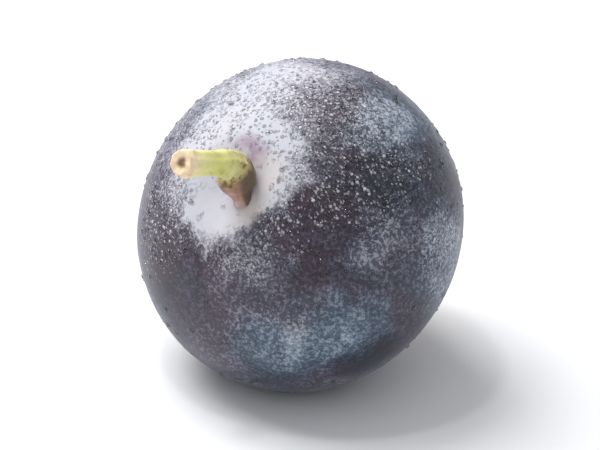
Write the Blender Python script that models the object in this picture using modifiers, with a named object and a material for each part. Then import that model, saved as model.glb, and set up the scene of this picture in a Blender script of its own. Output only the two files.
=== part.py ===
"""A blueberry resting on a surface, with its short bent stem up and its dried calyx at the lower end.

Metres, +Z up. The origin is on the resting surface, straight under the middle of the fruit.
Every piece is modelled in the fruit's own frame, whose +Z points out of the stem end, and one empty
tilts that frame into place.
"""

import math

import bmesh
import bpy
from mathutils import Matrix, Vector

# The fruit
FRUIT_DIAMETER = 0.0170
FRUIT_HEIGHT = 0.0142
FRUIT_TILT = math.radians(51.5)  # stem end away from straight up
FRUIT_HEADING = math.radians(-38.5)  # stem end leans to -Y, then turned about the vertical
REST_FLAT_DEPTH = 0.00045  # how much of the underside is pressed flat

# The dimple that the stem grows out of
DIMPLE_DIAMETER = 0.0062
DIMPLE_DEPTH = 0.0007

# The dried calyx: a shallow cup with a lobed rim
CALYX_DIAMETER = 0.0060  # outside, where it leaves the skin
CALYX_WALL = 0.00038
CALYX_FLOOR = 0.00045
CALYX_SEAT_DEPTH = 0.0012  # pocket in the fruit, under the edge of the skin
LOBE_COUNT = 5
LOBE_HEIGHT = 0.0013  # above the edge of the skin
LOBE_FLARE = 0.0003  # how far the tips stand out past the cup
LOBE_TIP_WIDTH = 0.0005
LOBE_UNEVENNESS = math.radians(5.0)  # most that a notch is turned out of step
LOBE_UNEVEN_RHYTHM = 2.4
RIM_HEIGHT = 0.00018  # unbroken rim under the notches

# The stem: a shank out of the dimple, a bend, and an arm to the broken end
STEM_ROOT_ASIDE = Vector((0.00055, -0.00030, 0.0))  # the root is not quite in the dimple's middle
STEM_SHANK = 0.0018
STEM_SHANK_LEAN = math.radians(43.0)  # from the fruit's axis
STEM_SHANK_HEADING = math.radians(106.0)
STEM_ARM = 0.0040
STEM_ARM_LEAN = math.radians(17.0)
STEM_ARM_HEADING = math.radians(259.0)
STEM_BEND_LENGTH = 0.0016
STEM_ROOT_DIAMETER = 0.0008
STEM_BEND_DIAMETER = 0.0020
STEM_ARM_DIAMETER = 0.0013
STEM_TIP_DIAMETER = 0.0015

SEAT_GAP = 0.0003  # between each piece and the fruit that carries it

# Fineness of the meshes
FRUIT_TURNS = 72
FRUIT_STATIONS = 36
CALYX_TURNS = 60
STEM_STATIONS = 26
STEM_ROUNDNESS = 4
MERGE_DISTANCE = 0.00001

TOWARDS_GROUND = math.radians(-90.0)  # heading in the fruit's frame that the tilt turns down
FRUIT_RADIUS = FRUIT_DIAMETER / 2
FRUIT_HALF_HEIGHT = FRUIT_HEIGHT / 2


def fruit_reach_below_centre():
    """How far the uncut fruit reaches under its own middle when it is tilted."""
    sideways = FRUIT_RADIUS * math.sin(FRUIT_TILT)
    upright = FRUIT_HALF_HEIGHT * math.cos(FRUIT_TILT)
    return math.hypot(sideways, upright)


def skin_height(radius):
    """Height of the skin over the fruit's widest ring, this far from the axis and without the dimple."""
    return FRUIT_HALF_HEIGHT * math.sqrt(1 - (radius / FRUIT_RADIUS) ** 2)


def dimple_drop(radius):
    share = min(radius / (DIMPLE_DIAMETER / 2), 1.0)
    return DIMPLE_DEPTH * (1 - share**2) ** 2


def smoothstep(share):
    share = min(max(share, 0.0), 1.0)
    return share * share * (3 - 2 * share)


def new_material(name, colour, roughness):
    material = bpy.data.materials.new(name)
    material.use_nodes = True
    surface = material.node_tree.nodes["Principled BSDF"]
    surface.inputs["Base Color"].default_value = (*colour, 1.0)
    surface.inputs["Roughness"].default_value = roughness
    surface.inputs["Metallic"].default_value = 0.0
    return material


def new_object(name, data, collection, parent=None):
    piece = bpy.data.objects.new(name, data)
    collection.objects.link(piece)
    piece.parent = parent
    return piece


def turned_piece(name, profile, turns, collection, parent):
    """A solid turned about the parent's Z from (radius, height) points that run down its outer side."""
    mesh = bpy.data.meshes.new(name)
    shape = bmesh.new()
    corners = [shape.verts.new((radius, 0.0, height)) for radius, height in profile]
    for upper, lower in zip(corners, corners[1:]):
        shape.edges.new((upper, lower))
    shape.to_mesh(mesh)
    shape.free()
    piece = new_object(name, mesh, collection, parent)
    turn = piece.modifiers.new("Turn", "SCREW")
    turn.axis = "Z"
    turn.angle = math.tau
    turn.steps = turns
    turn.render_steps = turns
    turn.use_merge_vertices = True
    turn.merge_threshold = MERGE_DISTANCE
    turn.use_smooth_shade = True
    return piece


def cut(piece, cutter):
    boolean = piece.modifiers.new("Cut " + cutter.name, "BOOLEAN")
    boolean.operation = "DIFFERENCE"
    boolean.solver = "EXACT"
    boolean.object = cutter


def hide_cutter(cutter):
    cutter.hide_render = True
    cutter.display_type = "WIRE"
    return cutter


def make_ground_cutter(collection):
    """A block under the resting surface. It flattens the fruit and keeps the lobes above ground."""
    mesh = bpy.data.meshes.new("ground_cutter")
    shape = bmesh.new()
    bmesh.ops.create_cube(shape, size=2 * FRUIT_DIAMETER)
    bmesh.ops.translate(shape, verts=shape.verts, vec=(0.0, 0.0, -FRUIT_DIAMETER))
    shape.to_mesh(mesh)
    shape.free()
    return hide_cutter(new_object("ground_cutter", mesh, collection))


def calyx_seat():
    """(pocket radius, height of the skin's edge there, height of the pocket's floor)."""
    pocket_radius = CALYX_DIAMETER / 2 + SEAT_GAP
    skin_edge = -skin_height(pocket_radius)
    return pocket_radius, skin_edge, skin_edge + CALYX_SEAT_DEPTH


def make_berry(collection, parent):
    pocket_radius, _, pocket_floor = calyx_seat()
    last_angle = math.pi - math.asin(pocket_radius / FRUIT_RADIUS)
    profile = []
    for station in range(FRUIT_STATIONS):
        angle = last_angle * station / (FRUIT_STATIONS - 1)
        radius = FRUIT_RADIUS * math.sin(angle)
        height = FRUIT_HALF_HEIGHT * math.cos(angle)
        if height > 0:
            height -= dimple_drop(radius)
        profile.append((radius, height))
    profile.append((pocket_radius, pocket_floor))
    profile.append((0.0, pocket_floor))
    berry = turned_piece("berry", profile, FRUIT_TURNS, collection, parent)
    berry.data.materials.append(new_material("bloomed_skin", (0.10, 0.12, 0.19), 0.6))
    return berry


def make_calyx_crown(collection, parent):
    _, skin_edge, pocket_floor = calyx_seat()
    underside = pocket_floor - SEAT_GAP
    disc = underside - CALYX_FLOOR
    tips = skin_edge - LOBE_HEIGHT
    outside = CALYX_DIAMETER / 2
    profile = (
        (0.0, underside),
        (outside, underside),
        (outside, skin_edge),
        (outside + LOBE_FLARE, tips),
        (outside + LOBE_FLARE - CALYX_WALL, tips),
        (outside - CALYX_WALL, skin_edge),
        (outside - CALYX_WALL, disc),
        (0.0, disc),
    )
    crown = turned_piece("calyx_crown", profile, CALYX_TURNS, collection, parent)
    crown.data.materials.append(new_material("dried_calyx", (0.16, 0.07, 0.04), 0.8))
    return crown


def make_notch_cutter(index, collection, parent):
    """A wedge across the rim between two lobes, its edge towards the fruit."""
    _, skin_edge, _ = calyx_seat()
    outside = CALYX_DIAMETER / 2
    pitch = math.tau / LOBE_COUNT
    notch_height = LOBE_HEIGHT - RIM_HEIGHT
    width_at_tips = pitch * outside - LOBE_TIP_WIDTH
    overshoot = 1.2  # the wedge runs on past the tips at the same slope

    # A three-sided bar of radius 1: its edge at +Y stands 1.5 above the face opposite, which is
    # sqrt(3) wide. It is scaled to the notch, then stood up so that it lies along X, edge at +Z.
    mesh = bpy.data.meshes.new("notch_cutter")
    shape = bmesh.new()
    bmesh.ops.create_cone(
        shape, cap_ends=True, segments=3, radius1=1.0, radius2=1.0, depth=1.0
    )
    scale = Matrix.Diagonal(
        (
            overshoot * width_at_tips / math.sqrt(3),
            overshoot * notch_height / 1.5,
            CALYX_DIAMETER,
            1.0,
        )
    )
    bmesh.ops.translate(shape, verts=shape.verts, vec=(0.0, -1.0, 0.5))
    bmesh.ops.transform(shape, matrix=scale, verts=shape.verts)
    stand = Matrix(((0, 0, 1, 0), (1, 0, 0, 0), (0, 1, 0, 0), (0, 0, 0, 1)))
    bmesh.ops.transform(shape, matrix=stand, verts=shape.verts)
    inner_end = Vector((outside / 2, 0.0, skin_edge - RIM_HEIGHT))
    bmesh.ops.translate(shape, verts=shape.verts, vec=inner_end)
    shape.to_mesh(mesh)
    shape.free()
    cutter = hide_cutter(new_object(f"notch_cutter_{index}", mesh, collection, parent))
    # The first notch faces the ground, and every other one is turned a little out of step.
    uneven = LOBE_UNEVENNESS * math.sin(LOBE_UNEVEN_RHYTHM * index)
    cutter.rotation_euler.z = TOWARDS_GROUND + pitch * index + uneven
    return cutter


def leaning(lean, heading):
    """A direction that leans this far from the fruit's axis, towards this heading."""
    across = math.sin(lean)
    return Vector((across * math.cos(heading), across * math.sin(heading), math.cos(lean)))


def stem_centreline():
    """Points along the stem from its root, which stands clear of the dimple's floor."""
    shank = leaning(STEM_SHANK_LEAN, STEM_SHANK_HEADING)
    arm = leaning(STEM_ARM_LEAN, STEM_ARM_HEADING)
    length = STEM_SHANK + STEM_ARM
    step = length / (STEM_STATIONS - 1)
    aside = STEM_ROOT_ASIDE.length
    floor = skin_height(aside) - dimple_drop(aside)
    root_tilt = STEM_ROOT_DIAMETER / 2 * math.sin(STEM_SHANK_LEAN)
    point = STEM_ROOT_ASIDE + Vector((0.0, 0.0, floor + SEAT_GAP + root_tilt))
    points = [point]
    for station in range(STEM_STATIONS - 1):
        along = (station + 0.5) * step
        turned = smoothstep((along - STEM_SHANK) / STEM_BEND_LENGTH + 0.5)
        point = point + shank.slerp(arm, turned) * step
        points.append(point)
    return points


def stem_diameter(share):
    """Diameter at this share of the stem's length: a narrow root, a full bend, an arm and a flared end."""
    length = STEM_SHANK + STEM_ARM
    fullest = (STEM_SHANK - STEM_BEND_LENGTH / 4) / length
    slimmest = (STEM_SHANK + STEM_ARM / 2) / length
    stations = (
        (0.0, STEM_ROOT_DIAMETER),
        (fullest, STEM_BEND_DIAMETER),
        (slimmest, STEM_ARM_DIAMETER),
        (1.0, STEM_TIP_DIAMETER),
    )
    for (start, before), (end, after) in zip(stations, stations[1:]):
        if share <= end:
            return before + (after - before) * smoothstep((share - start) / (end - start))
    return STEM_TIP_DIAMETER


def make_stem(collection, parent):
    curve = bpy.data.curves.new("stem", "CURVE")
    curve.dimensions = "3D"
    curve.bevel_depth = STEM_ARM_DIAMETER / 2
    curve.bevel_resolution = STEM_ROUNDNESS
    curve.use_fill_caps = True
    points = stem_centreline()
    spline = curve.splines.new("POLY")
    spline.points.add(len(points) - 1)
    for index, (knot, point) in enumerate(zip(spline.points, points)):
        knot.co = (*point, 1.0)
        knot.radius = stem_diameter(index / (len(points) - 1)) / STEM_ARM_DIAMETER
    spline.use_smooth = True
    stem = new_object("stem", curve, collection, parent)
    curve.materials.append(new_material("green_stem", (0.55, 0.50, 0.12), 0.55))
    return stem


def main():
    for leftover in list(bpy.data.objects):
        bpy.data.objects.remove(leftover)
    blueberry = bpy.data.collections.new("blueberry")
    cutters = bpy.data.collections.new("blueberry_cutters")
    for collection in (blueberry, cutters):
        bpy.context.scene.collection.children.link(collection)

    fruit_frame = new_object("fruit_frame", None, blueberry)
    fruit_frame.location.z = fruit_reach_below_centre() - REST_FLAT_DEPTH
    fruit_frame.rotation_euler = (FRUIT_TILT, 0.0, FRUIT_HEADING)

    berry = make_berry(blueberry, fruit_frame)
    crown = make_calyx_crown(blueberry, fruit_frame)
    make_stem(blueberry, fruit_frame)
    for index in range(LOBE_COUNT):
        cut(crown, make_notch_cutter(index, cutters, fruit_frame))
    ground = make_ground_cutter(cutters)
    cut(berry, ground)
    cut(crown, ground)


main()
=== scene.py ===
"""The looks of a fresh blueberry.

Waxy bloom over dark skin, fine dew, a short bent green stem and the dry calyx underneath.
Lengths are in metres.
"""

import math
import random

import bmesh
import bpy
from mathutils import Matrix, Vector, noise
from mathutils.bvhtree import BVHTree


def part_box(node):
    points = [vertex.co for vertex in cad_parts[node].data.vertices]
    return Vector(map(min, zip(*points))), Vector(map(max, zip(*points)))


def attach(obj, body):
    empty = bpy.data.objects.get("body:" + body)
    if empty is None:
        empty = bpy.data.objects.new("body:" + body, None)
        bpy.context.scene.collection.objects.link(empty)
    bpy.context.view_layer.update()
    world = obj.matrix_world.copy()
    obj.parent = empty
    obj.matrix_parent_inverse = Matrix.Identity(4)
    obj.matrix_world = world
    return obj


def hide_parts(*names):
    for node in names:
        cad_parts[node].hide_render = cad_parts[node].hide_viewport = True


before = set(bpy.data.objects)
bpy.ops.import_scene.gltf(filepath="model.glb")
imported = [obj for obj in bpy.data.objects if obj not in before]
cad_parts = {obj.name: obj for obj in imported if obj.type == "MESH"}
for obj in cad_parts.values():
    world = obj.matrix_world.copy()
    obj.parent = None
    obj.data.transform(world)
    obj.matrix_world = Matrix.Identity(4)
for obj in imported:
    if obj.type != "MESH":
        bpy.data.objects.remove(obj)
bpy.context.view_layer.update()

# Where the camera stands, and how large the fruit shows
CAMERA_ELEVATION = math.radians(28.0)
CAMERA_LENS = 0.400
CAMERA_SENSOR = 0.036
CAMERA_DISTANCE = 0.335

# The lights, as seen from the fruit, and the floor
KEY_DIRECTION = Vector((-0.425, 0.385, 0.819)).normalized()
KEY_SIZE = 0.20
KEY_POWER = 0.95
GLINT_DIRECTION = Vector((-0.20, 0.05, 0.95))
GLINT_SIZE = 0.025
GLINT_POWER = 0.10
LIGHT_DISTANCE = 0.30
SURROUNDINGS_STRENGTH = 0.62
FLOOR_REACH = 6.0

# The dimple round the stem, as deep and wide as in the solid, and the fine folds in it
DIMPLE_DIAMETER = 0.0062
DIMPLE_DEPTH = 0.0007
PUCKER_COUNT = 13
PUCKER_DEPTH = 0.000009

# The skin's unevenness: (how far it rises, how far apart its bumps are, seed)
SKIN_WAVES = ((0.000085, 0.0065, 3.0), (0.000022, 0.0019, 9.0), (0.000006, 0.0007, 5.0))
PRESSED_EDGE = 0.00004  # how softly the flat spot underneath runs into the round skin

# The calyx: its seat is deeper than in the solid, so the skin stays clear of the disc
CALYX_RADIUS = 0.0030
CALYX_RECESS = 0.0007
CALYX_SEAT_DEPTH = 0.0015
CALYX_SEAT_INSET = 0.0001
CALYX_SUNK = 0.0005
COLLAR_RISE = 0.00022
COLLAR_WIDTH = 0.0011

# The calyx's lobes, counted from the heading that faces the ground
TOWARDS_GROUND = math.radians(-90.0)
LOBE_COUNT = 5
LOBE_HEIGHT = 0.0014
LOBE_THICKNESS = 0.00016
LOBE_FLARE = 0.00040
LOBE_BELLY = 0.00012
LOBE_CURL = 0.00055
LOBE_CREASES = 5
# How tall each lobe is, and how far its tip leans out, or in if negative, as shares
LOBE_HEIGHTS = (1.0, 0.82, 1.08, 0.90, 0.96)
LOBE_LEANS = (0.5, -0.9, 1.0, 0.35, -0.2)

# The calyx's sunken disc
DISC_THICKNESS = 0.0004
DISC_INSET = 0.00012
DISC_RAYS = 19
NECTARY_RADIUS = 0.00165
NECTARY_RISE = 0.00020

# The stem: a shank out of the dimple, a bend, and an arm to the broken end
STEM_ROOT_ASIDE = Vector((0.00055, -0.00030, 0.0))
STEM_SHANK = 0.0021
STEM_SHANK_LEAN = math.radians(43.0)
STEM_SHANK_HEADING = math.radians(106.0)
STEM_ARM = 0.0040
STEM_ARM_LEAN = math.radians(17.0)
STEM_ARM_HEADING = math.radians(259.0)
STEM_BEND_LENGTH = 0.0016
STEM_ROOT_DIAMETER = 0.0008
STEM_BEND_DIAMETER = 0.0020
STEM_ARM_DIAMETER = 0.0013
STEM_TIP_DIAMETER = 0.0015
STEM_END_DISH = 0.00012
STEM_SUNK = 0.0001

# The modelled drops' radii, and their shape as shares of those
DEW_SEED = 7
DEW_TRIES = 24000
DEW_SMALLEST = 0.000035
DEW_LARGEST = 0.00016
DEW_FLATNESS = 0.66
DEW_SUNK = 0.10
ROUNDED_FROM = 0.000085  # drops of this radius and more get a finer mesh

# How finely the pieces are meshed
SKIN_TURNS = 300
SKIN_STATIONS = 190
STEM_SIDES = 44
STEM_STATIONS = 96
STEM_END_RINGS = 6
STEM_END_RING = 0.14  # how wide each is, as a share of the end's radius
CALYX_SIDES = 360
CALYX_STATIONS = 30
DISC_TURNS = 220
DISC_STATIONS = 71


# ---------------------------------------------------------------- the fruit's own frame


def flattest_face(node):
    """(outward normal, centre) of the largest flat face of a CAD node."""
    faces = {}
    for face in node.data.polygons:
        facing = tuple(round(part, 2) for part in face.normal)
        faces.setdefault(facing, []).append(face)
    largest = max(faces.values(), key=lambda group: sum(face.area for face in group))
    area = sum(face.area for face in largest)
    normal = sum((face.normal * face.area for face in largest), Vector()).normalized()
    centre = sum((face.center * face.area for face in largest), Vector()) / area
    return normal, centre


def read_fruit_frame():
    """(matrix of the fruit's frame, radius, half height).

    The frame's +Z points out of the stem end and its +X is level.
    """
    out_of_stem_end, calyx_seat = flattest_face(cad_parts["calyx_crown"])
    middle = calyx_seat + out_of_stem_end * (calyx_seat.xy.length / out_of_stem_end.xy.length)
    level = Vector((-out_of_stem_end.y, out_of_stem_end.x, 0.0)).normalized()
    across = out_of_stem_end.cross(level)
    turn = Matrix((level, across, out_of_stem_end)).transposed().to_4x4()
    placed = Matrix.Translation(middle) @ turn
    back = placed.inverted()
    radius = max((back @ vertex.co).xy.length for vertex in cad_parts["berry"].data.vertices)
    reach_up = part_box("berry")[1].z - middle.z
    sideways = radius * out_of_stem_end.xy.length
    half_height = math.sqrt(reach_up**2 - sideways**2) / out_of_stem_end.z
    return placed, radius, half_height


FRUIT_FRAME, FRUIT_RADIUS, FRUIT_HALF_HEIGHT = read_fruit_frame()
MIDDLE = FRUIT_FRAME.translation

CAMERA_RIGHT = Vector((1.0, 0.0, 0.0))
CAMERA_UP = Vector((0.0, math.sin(CAMERA_ELEVATION), math.cos(CAMERA_ELEVATION)))
TOWARDS_CAMERA = Vector((0.0, -math.cos(CAMERA_ELEVATION), math.sin(CAMERA_ELEVATION)))


def seen_at(right, up):
    """The direction of a place on the near side of the fruit, this far right and up of its middle."""
    towards = math.sqrt(max(0.0, 1 - right**2 - up**2))
    return CAMERA_RIGHT * right + CAMERA_UP * up + TOWARDS_CAMERA * towards


def hidden_at(right, up):
    """The direction of a place on the far side of the fruit, this far right and up of its middle."""
    away = math.sqrt(max(0.0, 1 - right**2 - up**2))
    return CAMERA_RIGHT * right + CAMERA_UP * up - TOWARDS_CAMERA * away


def smoothstep(share):
    share = min(max(share, 0.0), 1.0)
    return share * share * (3 - 2 * share)


def eased(stations, place):
    """A value that passes smoothly through (place, value) stations."""
    if place <= stations[0][0]:
        return stations[0][1]
    for (start, before), (end, after) in zip(stations, stations[1:]):
        if place <= end:
            return before + (after - before) * smoothstep((place - start) / (end - start))
    return stations[-1][1]


def ripple(point, size, seed=0.0):
    """Smooth noise from -1 to 1 whose bumps are this far apart, in metres."""
    return noise.noise(point / size + Vector((seed, 1.7 * seed, -seed)))


def turned(profile, steps):
    """A bmesh turned round the fruit's axis from (radius, height) points."""
    shape = bmesh.new()
    corners = [shape.verts.new((radius, 0.0, height)) for radius, height in profile]
    edges = [shape.edges.new(pair) for pair in zip(corners, corners[1:])]
    bmesh.ops.spin(
        shape,
        geom=corners + edges,
        cent=(0.0, 0.0, 0.0),
        axis=(0.0, 0.0, 1.0),
        angle=math.tau,
        steps=steps,
        use_merge=True,
    )
    bmesh.ops.remove_doubles(shape, verts=shape.verts, dist=1e-7)
    return shape


def tube(sides, stations, closed):
    """An upright tube of radius 1, from -0.5 to 0.5, with a ring of vertices at each station."""
    shape = bmesh.new()
    bmesh.ops.create_cone(shape, cap_ends=closed, segments=sides, radius1=1.0, radius2=1.0, depth=1.0)
    lengthwise = [edge for edge in shape.edges if abs(edge.verts[0].co.z - edge.verts[1].co.z) > 0.5]
    bmesh.ops.subdivide_edges(shape, edges=lengthwise, cuts=stations - 2)
    return shape


def show_mesh(name, shape, material):
    """The object of a finished bmesh, in its material."""
    mesh = bpy.data.meshes.new(name)
    shape.to_mesh(mesh)
    shape.free()
    mesh.materials.append(material)
    piece = bpy.data.objects.new(name, mesh)
    bpy.context.scene.collection.objects.link(piece)
    return piece


def grown_piece(name, shape, material):
    """A smooth piece of the fruit, riding on its body."""
    piece = show_mesh(name, shape, material)
    piece.data.shade_smooth()
    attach(piece, "root")
    return piece


# ---------------------------------------------------------------- materials


class Finish:
    """A material being made. node() adds a shader node and Value does sums on its output."""

    def __init__(self, name):
        self.material = bpy.data.materials.new(name)
        self.material.use_nodes = True
        self.tree = self.material.node_tree
        self.shader = self.tree.nodes["Principled BSDF"]

    def feed(self, socket, value):
        if isinstance(value, Value):
            self.tree.links.new(value.socket, socket)
        else:
            socket.default_value = value

    def node(self, kind, settings, sockets, output=0):
        made = self.tree.nodes.new(kind)
        for name, setting in settings.items():
            if name == "stops":
                place_stops(made.color_ramp, setting)
            else:
                setattr(made, name, setting)
        for key, value in sockets.items():
            self.feed(made.inputs[key], value)
        return Value(self, made.outputs[output])

    def set(self, **constants):
        """Sets or feeds the shader's own sockets: base_color is Base Color."""
        for name, value in constants.items():
            self.feed(self.shader.inputs[name.replace("_", " ").title().replace("Ior", "IOR")], value)

    def maths(self, operation, first, second=0.0):
        return self.node("ShaderNodeMath", {"operation": operation}, {0: first, 1: second})

    def mix(self, factor, first, second):
        sockets = {0: factor, 6: as_colour(first), 7: as_colour(second)}
        return self.node("ShaderNodeMix", {"data_type": "RGBA"}, sockets, output=2)

    def place(self):
        """Where a point is on the piece, in metres."""
        return self.node("ShaderNodeTexCoord", {}, {}, "Object")

    def vector(self, operation, first, second):
        return self.node("ShaderNodeVectorMath", {"operation": operation}, {0: first, 1: second})

    def scaled(self, vector, share):
        return self.vector("MULTIPLY", vector, (share, share, share))

    def normalized(self, vector):
        return self.vector("NORMALIZE", vector, (0.0, 0.0, 0.0))

    def carried(self, name):
        """A number that the mesh carries at each vertex."""
        return self.node("ShaderNodeAttribute", {"attribute_name": name}, {}, "Fac")

    def ramp(self, where, stops):
        return self.node("ShaderNodeValToRGB", {"stops": stops}, {"Fac": where})

    def cloud(self, place, size, detail=3.0, roughness=0.55, output=0):
        """Noise from 0 to 1 with features of this size in metres."""
        sockets = {"Vector": place, "Scale": 1 / size, "Detail": detail, "Roughness": roughness}
        return self.node("ShaderNodeTexNoise", {}, sockets, output)

    def cells(self, place, size, output="Distance"):
        """Distance to the middle of the nearest cell, or that cell's own random colour."""
        sockets = {"Vector": place, "Scale": 1 / size}
        return self.node("ShaderNodeTexVoronoi", {"feature": "F1"}, sockets, output)

    def bump(self, height, distance):
        sockets = {"Height": height, "Distance": distance, "Strength": 1.0}
        return self.node("ShaderNodeBump", {}, sockets)


class Value:
    """A node's output, with sums written as plain expressions."""

    def __init__(self, finish, socket):
        self.finish = finish
        self.socket = socket

    def __add__(self, other):
        return self.finish.maths("ADD", self, other)

    def __radd__(self, other):
        return self.finish.maths("ADD", other, self)

    def __sub__(self, other):
        return self.finish.maths("SUBTRACT", self, other)

    def __rsub__(self, other):
        return self.finish.maths("SUBTRACT", other, self)

    def __mul__(self, other):
        return self.finish.maths("MULTIPLY", self, other)

    def __rmul__(self, other):
        return self.finish.maths("MULTIPLY", other, self)

    def rising(self, low, high):
        """0 below low, 1 above high, smooth between. It falls instead if low is the larger."""
        sockets = {"Value": self, "From Min": low, "From Max": high}
        return self.finish.node("ShaderNodeMapRange", {"interpolation_type": "SMOOTHSTEP"}, sockets)

    def at_least(self, other):
        return self.finish.maths("MAXIMUM", self, other)

    def at_most(self, other):
        return self.finish.maths("MINIMUM", self, other)


def as_colour(colour):
    return (*colour, 1.0) if isinstance(colour, tuple) else colour


def place_stops(ramp, stops):
    for index, (position, colour) in enumerate(stops):
        stop = ramp.elements[index] if index < 2 else ramp.elements.new(position)
        stop.position = position
        stop.color = as_colour(colour)


# ---------------------------------------------------------------- skin


def skin_height(radius):
    return FRUIT_HALF_HEIGHT * math.sqrt(max(0.0, 1 - (radius / FRUIT_RADIUS) ** 2))


def dimple_drop(radius):
    share = min(radius / (DIMPLE_DIAMETER / 2), 1.0)
    return DIMPLE_DEPTH * (1 - share**2) ** 2


def collar_rise(radius):
    """How far the skin swells up to the calyx that stands on it."""
    return COLLAR_RISE * math.exp(-(((radius - CALYX_RADIUS) / COLLAR_WIDTH) ** 2))


def skin_profile():
    """(radius, height) points from the middle of the dimple to the middle of the calyx seat."""
    last_angle = math.pi - math.asin(CALYX_RADIUS / FRUIT_RADIUS)
    points = []
    for station in range(SKIN_STATIONS):
        angle = last_angle * station / (SKIN_STATIONS - 1)
        radius = FRUIT_RADIUS * math.sin(angle)
        height = FRUIT_HALF_HEIGHT * math.cos(angle)
        if height > 0:
            height -= dimple_drop(radius)
        else:
            height -= collar_rise(radius)
        points.append((radius, height))
    edge = points[-1][1]
    seat_wall = CALYX_RADIUS - CALYX_SEAT_INSET
    points.append((seat_wall, edge + CALYX_SEAT_INSET))
    points.append((seat_wall, edge + CALYX_SEAT_DEPTH))
    points.append((0.0, edge + CALYX_SEAT_DEPTH))
    return points


def skin_wave(point):
    """How far the skin stands out of or sinks into the turned shape at a point of the fruit's frame."""
    wave = sum(rise * ripple(point, size, seed) for rise, size, seed in SKIN_WAVES)
    radius = point.xy.length
    if point.z < 0:
        outside_seat = radius - CALYX_RADIUS + CALYX_SEAT_INSET
        return wave * smoothstep(outside_seat / (2 * CALYX_SEAT_INSET))
    heading = math.atan2(point.y, point.x)
    sway = 4.5 * ripple(point, 0.0016, 4.0)
    near = smoothstep(radius / 0.0005) * (1 - smoothstep((radius - 0.0006) / 0.0012))
    uneven = 0.6 + 0.9 * ripple(point, 0.0012, 13.0)
    return wave + PUCKER_DEPTH * near * uneven * math.sin(PUCKER_COUNT * heading + sway)


def make_skin():
    shape = turned(skin_profile(), SKIN_TURNS)
    bmesh.ops.recalc_face_normals(shape, faces=shape.faces)
    shape.normal_update()
    moved = [(vertex, vertex.normal * skin_wave(vertex.co)) for vertex in shape.verts]
    for vertex, step in moved:
        vertex.co += step
    bmesh.ops.transform(shape, matrix=FRUIT_FRAME, verts=shape.verts)
    # Where the fruit lies on the surface, its skin is pressed flat with a soft edge.
    for vertex in shape.verts:
        height = vertex.co.z
        vertex.co.z = (height + math.sqrt(height**2 + PRESSED_EDGE**2)) / 2
    skin = grown_piece("bloomed_skin", shape, skin_finish())
    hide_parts("berry")
    return skin


# Patches on the fruit: (direction, degrees at full strength, degrees where it ends, strength)
BLOOM_PATCHES = (
    (seen_at(-0.52, 0.44), 10, 36, 0.60),
    (seen_at(-0.60, 0.02), 4, 18, 0.45),
    (seen_at(-0.30, 0.78), 12, 34, 0.36),
    (seen_at(-0.55, 0.83), 16, 44, 0.25),
    (seen_at(-0.19, 0.41), 4, 20, 0.56),
    (seen_at(0.02, 0.98), 6, 26, 0.23),
    (seen_at(0.04, 0.44), 2, 12, 0.14),
    (seen_at(0.52, 0.60), 4, 20, 0.34),
    (seen_at(0.80, 0.00), 4, 22, 0.08),
    (seen_at(0.88, -0.20), 3, 22, 0.24),
    (seen_at(0.45, -0.06), 3, 15, 0.20),
    (seen_at(0.12, -0.63), 6, 18, 0.17),
    (seen_at(0.42, -0.56), 3, 12, 0.12),
    (seen_at(-0.48, -0.17), 3, 16, 0.14),
    (seen_at(-0.16, -0.66), 4, 17, 0.15),
    (seen_at(-0.40, -0.16), 2, 18, 0.10),
    (hidden_at(-0.55, 0.55), 12, 36, 0.28),
    (hidden_at(0.35, 0.75), 10, 34, 0.22),
    (hidden_at(0.78, 0.25), 6, 26, 0.24),
    (hidden_at(0.49, -0.26), 22, 40, 0.26),
    (hidden_at(-0.25, 0.00), 8, 30, 0.18),
    (hidden_at(-0.78, -0.10), 6, 24, 0.16),
)
# Patches where the bloom is rubbed thin; the one on the lower left edge is painted shade
RUBBED_AND_SHADED_PATCHES = (
    (seen_at(0.12, 0.20), 8, 28, 0.15),
    (seen_at(0.02, 0.10), 3, 14, 0.08),
    (seen_at(0.50, 0.30), 4, 18, 0.10),
    (seen_at(0.62, -0.62), 3, 18, 0.12),
    (seen_at(0.40, -0.78), 4, 14, 0.26),
    (seen_at(-0.40, 0.00), 4, 15, 0.22),
    (seen_at(0.45, 0.45), 3, 12, 0.10),
    (seen_at(0.15, -0.38), 5, 17, 0.13),
    (seen_at(0.80, 0.30), 5, 20, 0.12),
    (seen_at(-0.93, -0.15), 5, 22, 0.16),
    (seen_at(-0.61, -0.20), 4, 13, 0.22),
    # Painted shade: thinner bloom on the lower left edge, where fruit beside it would shade it
    (seen_at(-0.80, -0.45), 6, 24, 0.10),
    (hidden_at(0.05, 0.38), 6, 26, 0.20),
    (hidden_at(-0.55, 0.20), 4, 18, 0.10),
    (hidden_at(0.15, -0.60), 6, 24, 0.12),
)
BLUE_PATCHES = (
    (seen_at(0.66, 0.58), 5, 26, 0.8),
    (seen_at(0.30, -0.66), 8, 22, 1.0),
    (seen_at(-0.16, -0.78), 7, 20, 0.9),
    (seen_at(0.88, -0.20), 4, 26, 0.6),
    (hidden_at(0.75, 0.25), 8, 32, 0.7),
    (hidden_at(-0.25, -0.30), 10, 34, 0.6),
)
PLUM_PATCHES = (
    (seen_at(-0.90, 0.15), 12, 40, 0.9),
    (seen_at(0.05, 0.05), 5, 22, 0.7),
    (seen_at(-0.45, -0.40), 8, 26, 0.4),
    (seen_at(0.05, 0.85), 6, 24, 0.5),
    (hidden_at(-0.10, 0.35), 8, 30, 0.8),
)
# Pinkish-purple patches on the skin beside the stem's bend
PINK_BY_STEM_PATCHES = ((seen_at(-0.38, 0.53), 2, 8, 0.8), (seen_at(-0.30, 0.49), 1, 7, 0.6))
# Painted light: a warm glow painted on the skin beside the stem
PAINTED_GLOW_PATCHES = ((seen_at(-0.24, 0.36), 2, 11, 0.7), (seen_at(-0.37, 0.14), 2, 10, 0.7))
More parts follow.
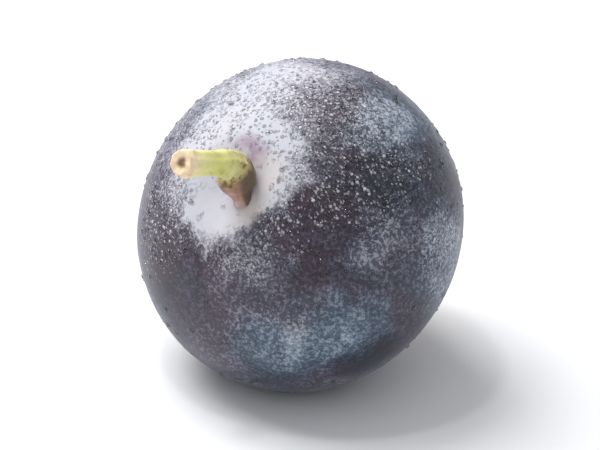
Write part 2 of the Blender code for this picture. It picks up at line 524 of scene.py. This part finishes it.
DEWY_PATCHES = (
    (seen_at(0.20, 0.55), 18, 42, 1.0),
    (seen_at(-0.45, 0.80), 8, 36, 0.60),
    (seen_at(-0.90, 0.05), 6, 26, 0.9),
    (seen_at(0.80, -0.14), 2, 14, 0.8),
    (seen_at(-0.45, -0.10), 3, 17, 0.9),
    (seen_at(-0.10, 0.02), 3, 20, 0.7),
    (hidden_at(0.05, 0.75), 16, 40, 0.9),
    (hidden_at(0.70, 0.10), 8, 28, 0.7),
    (hidden_at(0.49, -0.26), 20, 36, 0.6),
    (hidden_at(-0.70, 0.15), 6, 28, 0.7),
)
DRY_PATCHES = (
    (seen_at(-0.55, 0.14), 5, 24, 0.9),
    (seen_at(-0.35, 0.36), 3, 16, 0.6),
    (seen_at(-0.62, -0.05), 2, 20, 0.5),
    (seen_at(-0.20, 0.55), 4, 18, 0.5),
    (hidden_at(-0.35, 0.35), 4, 18, 0.7),
)

# How far the patches' edges wander, and the share of it where they run smoother
PATCH_WANDER = 0.0060
CALM_SHARE = 0.55

# The drops too fine to model: how far apart they are, and how far off a drop's middle its painted lit spot
# is, as a share of that distance; that spot is light painted into the skin's colour
LARGER_FINE_DEW = 0.00032
SMALLER_FINE_DEW = 0.00019
FINE_DEW_PAINTED_LIGHT_SHIFT = 0.13


def patch(finish, outward, direction, inner, outer):
    """1 within inner degrees of a direction and 0 beyond outer."""
    settings = {"operation": "DOT_PRODUCT"}
    facing = finish.node("ShaderNodeVectorMath", settings, {0: outward, 1: tuple(direction)}, "Value")
    return facing.rising(math.cos(math.radians(outer)), math.cos(math.radians(inner)))


def patches(finish, outward, rows):
    """The sum of several patches, each at its own strength."""
    total = 0.0
    for direction, inner, outer, strength in rows:
        total = total + strength * patch(finish, outward, direction, inner, outer)
    return total


def fine_dew(finish, place, size, dewy):
    """(dome, wet, painted light spot) of drops too fine to model, spaced about this far apart.

    dome is their height, wet is where they darken the skin, and the painted light spot is light painted
    into the skin's colour at the side away from the light, where each drop would gather it.
    """
    away = finish.cells(place, size)
    kind = finish.node("ShaderNodeSeparateColor", {}, {0: finish.cells(place, size, "Color")}, "Red")
    settles = (1.22 * dewy - kind).rising(0.0, 0.10)
    radius = 0.34 + 0.14 * kind
    dome = (radius - away).rising(-0.02, 0.30) * settles
    wet = (radius - away).rising(0.0, 0.07) * settles
    # The painted light spot is shifted off each drop's middle, away from the key light
    far_side = tuple(-FINE_DEW_PAINTED_LIGHT_SHIFT * size * part for part in KEY_DIRECTION)
    beyond = finish.cells(finish.vector("SUBTRACT", place, far_side), size)
    painted_light_spot = (0.66 * radius - beyond).rising(-0.03, 0.10) * wet * (0.35 + 0.65 * kind)
    return dome, wet, painted_light_spot


def skin_finish():
    finish = Finish("bloomed_skin")
    place = finish.place()
    from_middle = finish.vector("SUBTRACT", place, tuple(MIDDLE))
    straight_out = finish.normalized(from_middle)
    wander = finish.cloud(place, 0.0032, detail=6.0, roughness=0.62, output="Color")
    swing = finish.scaled(finish.vector("SUBTRACT", wander, (0.5, 0.5, 0.5)), PATCH_WANDER)
    outward = finish.normalized(finish.vector("ADD", from_middle, swing))
    calmer = finish.scaled(swing, CALM_SHARE)
    calm_outward = finish.normalized(finish.vector("ADD", from_middle, calmer))

    broad = finish.cloud(place, 0.0048, detail=4.0, roughness=0.6)
    mottle = finish.cloud(place, 0.0011, detail=5.0, roughness=0.65)
    flecks = finish.cloud(place, 0.00020, detail=2.0, roughness=0.6).rising(0.40, 0.64)
    dust = finish.cloud(place, 0.00010, detail=1.0).rising(0.40, 0.62)
    level_stretch = finish.vector("MULTIPLY", place, (0.5, 0.5, 1.3))
    streaks = finish.cloud(level_stretch, 0.0006, detail=4.0, roughness=0.65)
    dewy = patches(finish, outward, DEWY_PATCHES).at_most(1.0) * (
        1 - patches(finish, outward, DRY_PATCHES).at_most(1.0)
    )
    blue = patches(finish, calm_outward, BLUE_PATCHES).at_most(1.0)

    bloom = 0.29 + 0.28 * (broad - 0.5) + 0.34 * (mottle - 0.5) + (0.24 + 0.20 * blue) * (streaks - 0.5)
    bloom = bloom + patches(finish, outward, BLOOM_PATCHES) - patches(finish, calm_outward, RUBBED_AND_SHADED_PATCHES)
    bloom = bloom + (0.23 + 0.04 * dewy) * (flecks - 0.45) + (0.07 + 0.10 * dewy) * (dust - 0.5)
    bloom = bloom.at_least(0.0).at_most(1.0)

    large_dome, large_wet, large_painted_light_spot = fine_dew(finish, place, LARGER_FINE_DEW, dewy)
    small_dome, small_wet, small_painted_light_spot = fine_dew(finish, place, SMALLER_FINE_DEW, dewy)
    wet = large_wet.at_least(small_wet)
    # Painted light: the lit spots of both sizes of drop
    painted_light_spot = large_painted_light_spot.at_least(0.8 * small_painted_light_spot)

    plum = 0.8 * finish.cloud(place, 0.0030, detail=3.0).rising(0.40, 0.62)
    plum = (plum + patches(finish, outward, PLUM_PATCHES)).at_most(1.0)
    dark = finish.mix(plum, (0.014, 0.017, 0.028), (0.036, 0.019, 0.033))
    haze = finish.mix(plum, (0.070, 0.077, 0.114), (0.087, 0.073, 0.108))
    wax = finish.mix(broad.rising(0.35, 0.65), (0.51, 0.52, 0.59), (0.57, 0.55, 0.60))
    haze = finish.mix(blue, haze, (0.062, 0.101, 0.152))
    wax = finish.mix(0.55 * blue, wax, (0.36, 0.47, 0.55))
    colour = finish.mix(bloom.rising(0.0, 0.45), dark, haze)
    colour = finish.mix(bloom.rising(0.30, 0.95), colour, wax)
    pink_by_stem = patches(finish, straight_out, PINK_BY_STEM_PATCHES) * mottle.rising(0.30, 0.60)
    colour = finish.mix(pink_by_stem.at_most(0.8), colour, (0.36, 0.24, 0.33))
    # Painted light: the warm cream glow beside the stem
    painted_glow = patches(finish, straight_out, PAINTED_GLOW_PATCHES)
    colour = finish.mix(0.6 * painted_glow, colour, (0.76, 0.66, 0.58))
    colour = finish.mix(0.62 * wet, colour, finish.mix(bloom, dark, haze))
    # Painted light: the lit spot beside each fine drop is painted in this pale colour, bluer on the blue
    # patches
    glint = finish.mix(0.5 * blue, (0.72, 0.73, 0.78), (0.52, 0.66, 0.74))
    colour = finish.mix(0.85 * painted_light_spot, colour, glint)

    roughness = 0.42 + 0.22 * bloom - 0.26 * wet
    pores = finish.cloud(place, 0.0004, detail=3.0)
    height = 0.35 * pores + 1.3 * large_dome + 0.8 * small_dome
    finish.set(base_color=colour, roughness=roughness, normal=finish.bump(height, 0.000035))
    finish.set(specular_ior_level=0.45, sheen_weight=0.18, sheen_roughness=0.35)
    finish.set(sheen_tint=(0.85, 0.90, 1.0, 1.0))
    return finish.material


# ---------------------------------------------------------------- stem


# Which way the stem's shaded side faces; near the root that side is painted dark brown, as painted shade
PAINTED_SHADE_SIDE = Vector((0.93, -0.20, -0.30)).normalized()


def leaning(lean, heading):
    across = math.sin(lean)
    return Vector((across * math.cos(heading), across * math.sin(heading), math.cos(lean)))


def stem_line():
    """(point, direction, side) at each station of the stem, from inside the dimple to the broken end."""
    shank = leaning(STEM_SHANK_LEAN, STEM_SHANK_HEADING)
    arm = leaning(STEM_ARM_LEAN, STEM_ARM_HEADING)
    length = STEM_SHANK + STEM_ARM
    step = length / (STEM_STATIONS - 1)
    point = STEM_ROOT_ASIDE + Vector((0.0, 0.0, FRUIT_HALF_HEIGHT - DIMPLE_DEPTH)) - shank * STEM_SUNK
    side = Vector((1.0, 0.0, 0.0))
    line = []
    for station in range(STEM_STATIONS):
        along = station * step
        bent = smoothstep((along - STEM_SHANK) / STEM_BEND_LENGTH + 0.5)
        direction = shank.slerp(arm, bent)
        side = (side - direction * side.dot(direction)).normalized()
        line.append((point.copy(), direction, side))
        point = point + direction * step
    return line


def stem_radius(share):
    bend = STEM_SHANK / (STEM_SHANK + STEM_ARM)
    stations = (
        (0.0, STEM_ROOT_DIAMETER * 1.35),
        (0.04, STEM_ROOT_DIAMETER * 1.20),
        (bend * 0.66, STEM_BEND_DIAMETER),
        (bend * 1.35, STEM_ARM_DIAMETER * 1.08),
        (bend + 0.25, STEM_ARM_DIAMETER * 0.94),
        (0.82, STEM_ARM_DIAMETER),
        (0.95, STEM_TIP_DIAMETER),
        (1.0, STEM_TIP_DIAMETER * 0.9),
    )
    return eased(stations, share) / 2


def stem_relief(share, heading, point):
    """By what share of its radius the stem stands out: ribs, lumps, wrinkles at the bend, a ragged end."""
    ribs = 0.045 * math.sin(5 * heading + 2.2 * share) + 0.02 * math.sin(9 * heading - 3 * share)
    lumps = 0.10 * ripple(point, 0.0011, 2.0) + 0.04 * ripple(point, 0.0004, 7.0)
    at_bend = math.exp(-(((share - 0.36) / 0.08) ** 2))
    wrinkles = 0.03 * at_bend * math.sin(130 * share + 2 * math.sin(2 * heading))
    at_end = smoothstep((share - 0.82) / 0.14)
    ragged = 0.13 * at_end * ripple(point, 0.0005, 11.0)
    return ribs + lumps + wrinkles + ragged


def make_stem():
    shape = tube(STEM_SIDES, STEM_STATIONS, closed=True)
    shape.normal_update()
    broken_end = [face for face in shape.faces if face.normal.z > 0.5]
    for _ in range(STEM_END_RINGS):
        bmesh.ops.inset_region(shape, faces=broken_end, thickness=STEM_END_RING, use_even_offset=True)
    line = stem_line()
    along_stem = shape.verts.layers.float.new("along_stem")
    painted_shade_side = shape.verts.layers.float.new("painted_shade_side")
    to_world = FRUIT_FRAME.to_3x3()
    for vertex in shape.verts:
        share = vertex.co.z + 0.5
        heading = math.atan2(vertex.co.y, vertex.co.x)
        spread = min(vertex.co.xy.length, 1.0)
        point, direction, side = line[round(share * (STEM_STATIONS - 1))]
        out = side * math.cos(heading) + direction.cross(side) * math.sin(heading)
        rim = point + out * stem_radius(share)
        radius = stem_radius(share) * (1 + stem_relief(share, heading, rim))
        spot = point + out * radius * spread
        if share > 0.999:
            dished = STEM_END_DISH * (1 - spread**2) * (0.4 + ripple(spot, 0.0006, 21.0))
            torn = 0.00009 * ripple(spot, 0.0003, 15.0)
            spot -= direction * (dished + torn)
        vertex[along_stem] = share + 0.05 * (1 - spread)
        # Near the root, how far each point faces the side that is painted as shade
        facing = (to_world @ out).dot(PAINTED_SHADE_SIDE)
        vertex[painted_shade_side] = smoothstep((facing + 0.1) / 0.9) * (1 - smoothstep((share - 0.24) / 0.14))
        vertex.co = spot
    bmesh.ops.transform(shape, matrix=FRUIT_FRAME, verts=shape.verts)
    bmesh.ops.recalc_face_normals(shape, faces=shape.faces)
    stem = grown_piece("bent_stem", shape, stem_finish())
    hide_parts("stem")


def stem_finish():
    finish = Finish("green_stem")
    place = finish.place()
    along = finish.carried("along_stem")
    shaded_side = finish.carried("painted_shade_side")
    streak = finish.cloud(place, 0.0005, detail=4.0)
    blotch = finish.cloud(place, 0.0011, detail=3.0)
    spots = finish.cloud(place, 0.00035, detail=2.0)
    where = along + 0.10 * (blotch - 0.5)
    stops = [
        (0.0, (0.46, 0.34, 0.30)),
        (0.08, (0.40, 0.22, 0.17)),
        (0.19, (0.33, 0.17, 0.12)),
        (0.28, (0.36, 0.22, 0.11)),
        (0.35, (0.50, 0.42, 0.17)),
        (0.45, (0.64, 0.60, 0.24)),
        (0.60, (0.70, 0.70, 0.20)),
        (0.76, (0.82, 0.77, 0.30)),
        (0.87, (0.90, 0.78, 0.40)),
        (0.95, (0.90, 0.74, 0.46)),
        (1.0, (0.87, 0.66, 0.45)),
    ]
    colour = finish.ramp(where, stops)
    lights = finish.mix(0.5 * streak.rising(0.5, 0.72), colour, (0.88, 0.80, 0.42))
    darks = finish.mix(0.4 * streak.rising(0.45, 0.25), lights, (0.20, 0.13, 0.03))
    near_bend = along.rising(0.12, 0.24) * along.rising(0.52, 0.36)
    colour = finish.mix(0.75 * near_bend * spots.rising(0.54, 0.64), darks, (0.10, 0.07, 0.02))
    # Painted shade: the root's side away from the light is painted dark brown
    painted_shade = (shaded_side + 0.5 * (streak - 0.5)).rising(0.2, 0.8)
    colour = finish.mix(0.85 * painted_shade, colour, (0.085, 0.060, 0.030))
    pith = along.rising(1.02, 1.04)
    colour = finish.mix(0.9 * pith, colour, (0.12, 0.055, 0.012))
    fibres = finish.cloud(place, 0.00012, detail=4.0)
    height = streak + 0.5 * fibres
    finish.set(base_color=colour, roughness=0.40 + 0.3 * along.rising(0.8, 0.95))
    finish.set(normal=finish.bump(height, 0.00003))
    return finish.material


# ---------------------------------------------------------------- calyx


def lobe_place(heading):
    """(which lobe, how far from its middle: 0 there, 1 in the notch beside it, and which side of it)."""
    turn = (heading - TOWARDS_GROUND) / math.tau % 1.0 * LOBE_COUNT
    turn += 0.10 * math.sin(2.4 * math.floor(turn))
    index = int(turn) % LOBE_COUNT
    offset = 2 * (turn - math.floor(turn)) - 1
    return index, min(abs(offset), 1.0), offset


def lobe_rim(heading):
    """Height of the calyx's ragged edge over the skin, as a share of the lobe height."""
    index, away, _ = lobe_place(heading)
    outline = 0.20 + 0.80 * LOBE_HEIGHTS[index] * (1 - away**1.12)
    edge = Vector((math.cos(heading), math.sin(heading), 0.0)) * CALYX_RADIUS
    ragged = 0.09 * ripple(edge, 0.0006, 31.0) + 0.05 * ripple(edge, 0.00022, 37.0)
    return outline * (1 + ragged * 1.6)


def calyx_wall(heading, share):
    """(radius, height) on the wall's outer side, from its sunken base (share 0) to its edge (share 1)."""
    index, away, offset = lobe_place(heading)
    rise = lobe_rim(heading) * share
    sunk = CALYX_SUNK * (1 - share) ** 2
    height = rise * LOBE_HEIGHT
    lean = LOBE_LEANS[index] * (1 - away**2)
    bow = LOBE_FLARE * rise - LOBE_BELLY * math.sin(math.pi * share)
    curl = LOBE_CURL * lean * rise**2
    along_edge = Vector((math.cos(heading), math.sin(heading), 0.0))
    spot = along_edge * CALYX_RADIUS + Vector((0.0, 0.0, height))
    crumple = 0.00012 * share * ripple(spot, 0.0011, 43.0) + 0.00005 * share * ripple(spot, 0.0004, 47.0)
    creases = 0.00005 * share * math.sin(math.pi * LOBE_CREASES * offset)
    radius = CALYX_RADIUS - CALYX_SEAT_INSET + bow + curl + crumple + creases
    sag = 0.5 * abs(curl)
    return radius, height - sag - sunk


def make_calyx_lobes():
    shape = tube(CALYX_SIDES, CALYX_STATIONS, closed=False)
    up_lobe = shape.verts.layers.float.new("up_lobe")
    near_edge = shape.verts.layers.float.new("near_edge")
    inner_side = shape.verts.layers.float.new("inner_side")
    skin_edge = skin_height(CALYX_RADIUS) + collar_rise(CALYX_RADIUS)
    for vertex in shape.verts:
        share = vertex.co.z + 0.5
        heading = math.atan2(vertex.co.y, vertex.co.x)
        radius, height = calyx_wall(heading, share)
        vertex[up_lobe] = share * min(lobe_rim(heading), 1.2)
        vertex[near_edge] = share
        vertex.co = (radius * math.cos(heading), radius * math.sin(heading), -skin_edge - height)
    bmesh.ops.recalc_face_normals(shape, faces=shape.faces)
    face_out_of_axis(shape)
    outer_side = set(shape.verts)
    bmesh.ops.solidify(shape, geom=shape.faces, thickness=LOBE_THICKNESS)
    for vertex in shape.verts:
        vertex[inner_side] = 0.0 if vertex in outer_side else 1.0
    bmesh.ops.transform(shape, matrix=FRUIT_FRAME, verts=shape.verts)
    bmesh.ops.recalc_face_normals(shape, faces=shape.faces)
    lobes = grown_piece("calyx_lobes", shape, lobe_finish())
    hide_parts("calyx_crown")


def face_out_of_axis(shape):
    """Turns an open wall round the axis inside out if its faces look at the axis."""
    shape.normal_update()
    face = shape.faces[0]
    if face.normal.xy.dot(face.calc_center_median().xy) < 0:
        bmesh.ops.reverse_faces(shape, faces=shape.faces)


def lobe_finish():
    finish = Finish("dried_calyx_lobes")
    place = finish.place()
    up = finish.carried("up_lobe")
    edge = finish.carried("near_edge")
    inner = finish.carried("inner_side")
    blotch = finish.cloud(place, 0.0009, detail=4.0)
    vein = finish.cloud(place, 0.00025, detail=4.0, roughness=0.65)
    where = up + 0.25 * (blotch - 0.5)
    outside_stops = [
        (0.0, (0.12, 0.13, 0.17)),
        (0.18, (0.10, 0.085, 0.095)),
        (0.45, (0.10, 0.045, 0.035)),
        (0.75, (0.20, 0.075, 0.045)),
        (0.95, (0.44, 0.22, 0.15)),
        (1.0, (0.62, 0.42, 0.28)),
    ]
    inside_stops = [
        (0.0, (0.16, 0.045, 0.038)),
        (0.20, (0.055, 0.020, 0.017)),
        (0.55, (0.040, 0.019, 0.011)),
        (0.80, (0.10, 0.036, 0.020)),
        (0.95, (0.36, 0.13, 0.095)),
        (1.0, (0.60, 0.36, 0.24)),
    ]
    colour = finish.mix(inner, finish.ramp(where, outside_stops), finish.ramp(where, inside_stops))
    colour = finish.mix(0.55 * vein.rising(0.52, 0.75), colour, (0.34, 0.17, 0.09))
    pale_edge = edge.rising(0.86, 1.0) * (0.25 + 0.75 * blotch.rising(0.40, 0.60))
    colour = finish.mix(0.75 * pale_edge, colour, (0.66, 0.42, 0.34))
    finish.set(base_color=colour, roughness=0.62 + 0.2 * vein)
    finish.set(normal=finish.bump(vein + 0.6 * blotch, 0.00006))
    return finish.material


def disc_height(radius):
    """How far the sunken disc stands out of the blossom end, over its own edge."""
    nectary = NECTARY_RISE * math.exp(-(((radius - NECTARY_RADIUS) / 0.00035) ** 2))
    hollow = -0.00016 * math.exp(-((radius / 0.0010) ** 2))
    scar = 0.00022 * math.exp(-((radius / 0.00028) ** 4)) - 0.00016 * math.exp(-((radius / 0.00013) ** 2))
    up_the_wall = 0.00035 * smoothstep((radius - 0.0022) / 0.0007)
    return nectary + hollow + scar + up_the_wall


def make_calyx_disc():
    edge = -skin_height(CALYX_RADIUS) + CALYX_RECESS
    reach = CALYX_RADIUS - DISC_INSET
    radii = [reach * station / (DISC_STATIONS - 1) for station in range(DISC_STATIONS)]
    face = [(radius, edge - disc_height(radius)) for radius in radii]
    back = [(reach, edge + DISC_THICKNESS), (0.0, edge + DISC_THICKNESS)]
    shape = turned(face + back, DISC_TURNS)
    from_axis = shape.verts.layers.float.new("from_axis")
    on_ray = shape.verts.layers.float.new("on_ray")
    for vertex in shape.verts:
        radius = vertex.co.xy.length
        heading = math.atan2(vertex.co.y, vertex.co.x)
        vertex[from_axis] = radius / reach
        if vertex.co.z < edge + DISC_THICKNESS / 2:
            sway = 1.5 * ripple(vertex.co, 0.001, 5.0)
            spread = smoothstep(radius / 0.0008)
            vertex[on_ray] = spread * math.sin(DISC_RAYS * heading + 5 * sway)
            rays = 0.00002 * vertex[on_ray]
            lumps = 0.00010 * ripple(vertex.co, 0.0008, 3.0) + 0.00005 * ripple(vertex.co, 0.0003, 8.0)
            vertex.co.z -= rays + lumps
    bmesh.ops.transform(shape, matrix=FRUIT_FRAME, verts=shape.verts)
    bmesh.ops.recalc_face_normals(shape, faces=shape.faces)
    disc = grown_piece("calyx_disc", shape, disc_finish())


def disc_finish():
    finish = Finish("calyx_disc")
    place = finish.place()
    out = finish.carried("from_axis")
    ray = finish.carried("on_ray")
    blotch = finish.cloud(place, 0.0007, detail=4.0)
    fibre = finish.cloud(place, 0.00018, detail=5.0, roughness=0.7)
    where = out + 0.16 * (blotch - 0.5)
    stops = [
        (0.0, (0.07, 0.035, 0.012)),
        (0.06, (0.20, 0.11, 0.03)),
        (0.13, (0.40, 0.26, 0.10)),
        (0.28, (0.48, 0.33, 0.18)),
        (0.50, (0.66, 0.44, 0.35)),
        (0.72, (0.62, 0.38, 0.32)),
        (0.86, (0.34, 0.11, 0.095)),
        (1.0, (0.06, 0.022, 0.018)),
    ]
    colour = finish.ramp(where, stops)
    red = blotch.rising(0.52, 0.64) * out.rising(0.45, 0.75)
    colour = finish.mix(0.55 * red, colour, (0.34, 0.065, 0.07))
    colour = finish.mix(0.35 * ray.rising(0.1, -0.9), colour, (0.20, 0.075, 0.05))
    colour = finish.mix(0.7 * fibre.rising(0.48, 0.32), colour, (0.14, 0.05, 0.035))
    colour = finish.mix(0.55 * fibre.rising(0.55, 0.72), colour, (0.86, 0.68, 0.58))
    finish.set(base_color=colour, roughness=0.6)
    finish.set(normal=finish.bump(fibre + blotch, 0.00006))
    return finish.material


# ---------------------------------------------------------------- dew


def closeness(direction, middle, inner, outer):
    """1 within inner degrees of a patch's middle and 0 beyond outer."""
    away = math.degrees(direction.angle(middle))
    return 1 - smoothstep((away - inner) / (outer - inner))


def dew_chance(direction):
    """How likely dew is to settle where the fruit faces this way."""
    chance = 0.05 + 0.25 * smoothstep((direction.z + 0.1) / 0.6)
    for middle, inner, outer, strength in DEWY_PATCHES:
        chance = max(chance, strength * closeness(direction, middle, inner, outer))
    for middle, inner, outer, strength in DRY_PATCHES:
        chance *= 1 - strength * closeness(direction, middle, inner, outer)
    clumps = 0.55 + 0.9 * noise.noise(direction * 4.5)
    return chance * clumps


def one_drop(fineness):
    """A round drop of radius 1, as a mesh to copy from."""
    bead = bmesh.new()
    bmesh.ops.create_icosphere(bead, subdivisions=fineness, radius=1.0)
    mesh = bpy.data.meshes.new("drop")
    bead.to_mesh(mesh)
    bead.free()
    return mesh


def make_dew(skin):
    surface = BVHTree.FromPolygons(
        [vertex.co for vertex in skin.data.vertices],
        [face.vertices for face in skin.data.polygons],
    )
    fine, rounded = one_drop(1), one_drop(2)
    chooser = random.Random(DEW_SEED)
    shape = bmesh.new()
    for _ in range(DEW_TRIES):
        turn = chooser.uniform(0, math.tau)
        lift = chooser.uniform(-0.75, 1.0)
        level = math.sqrt(1 - lift**2)
        direction = Vector((level * math.cos(turn), level * math.sin(turn), lift))
        wanted = chooser.random()
        size = DEW_SMALLEST + (DEW_LARGEST - DEW_SMALLEST) * chooser.random() ** 3.0
        if wanted > dew_chance(direction):
            continue
        start = MIDDLE + direction * FRUIT_RADIUS * 2
        spot, normal, _, _ = surface.ray_cast(start, -direction)
        if spot is None:
            continue
        stand = normal.to_track_quat("Z", "Y").to_matrix().to_4x4()
        flattened = Matrix.Diagonal((size, size, size * DEW_FLATNESS, 1.0))
        settled = Matrix.Translation(spot - normal * size * DEW_SUNK) @ stand @ flattened
        drop = (fine if size < ROUNDED_FROM else rounded).copy()
        drop.transform(settled)
        shape.from_mesh(drop)
        bpy.data.meshes.remove(drop)
    grown_piece("dew", shape, dew_finish())


def dew_finish():
    finish = Finish("dew_water")
    finish.set(base_color=(1.0, 1.0, 1.0, 1.0), roughness=0.02, ior=1.333, transmission_weight=1.0)
    return finish.material


# ---------------------------------------------------------------- studio


def make_studio():
    shape = bmesh.new()
    bmesh.ops.create_grid(shape, x_segments=1, y_segments=1, size=FLOOR_REACH)
    pale = Finish("pale_floor")
    pale.set(base_color=(0.86, 0.86, 0.87, 1.0), roughness=0.7)
    floor = show_mesh("floor", shape, pale.material)

    world = bpy.data.worlds.new("soft_surroundings")
    world.use_nodes = True
    backdrop = world.node_tree.nodes["Background"]
    backdrop.inputs["Color"].default_value = (0.95, 0.97, 1.0, 1.0)
    backdrop.inputs["Strength"].default_value = SURROUNDINGS_STRENGTH
    bpy.context.scene.world = world

    add_softbox("key_softbox", KEY_DIRECTION, KEY_SIZE, KEY_POWER)
    add_softbox("glint", GLINT_DIRECTION, GLINT_SIZE, GLINT_POWER)
    bpy.context.scene.view_settings.view_transform = "Standard"


def add_softbox(name, direction, size, power):
    light = bpy.data.lights.new(name, "AREA")
    light.shape = "SQUARE"
    light.size = size
    light.energy = power
    lamp = bpy.data.objects.new(name, light)
    bpy.context.scene.collection.objects.link(lamp)
    lamp.location = MIDDLE + direction.normalized() * LIGHT_DISTANCE
    lamp.rotation_euler = direction.to_track_quat("Z", "Y").to_euler()


def make_camera():
    lens = bpy.data.cameras.new("camera")
    lens.lens = CAMERA_LENS * 1000
    lens.sensor_width = CAMERA_SENSOR * 1000
    lens.clip_start = 0.01
    lens.clip_end = 10.0
    camera = bpy.data.objects.new("camera", lens)
    bpy.context.scene.collection.objects.link(camera)
    camera.location = MIDDLE + TOWARDS_CAMERA * CAMERA_DISTANCE
    camera.rotation_euler = TOWARDS_CAMERA.to_track_quat("Z", "Y").to_euler()
    bpy.context.scene.camera = camera


skin = make_skin()
make_stem()
make_calyx_lobes()
make_calyx_disc()
make_dew(skin)
make_studio()
make_camera()
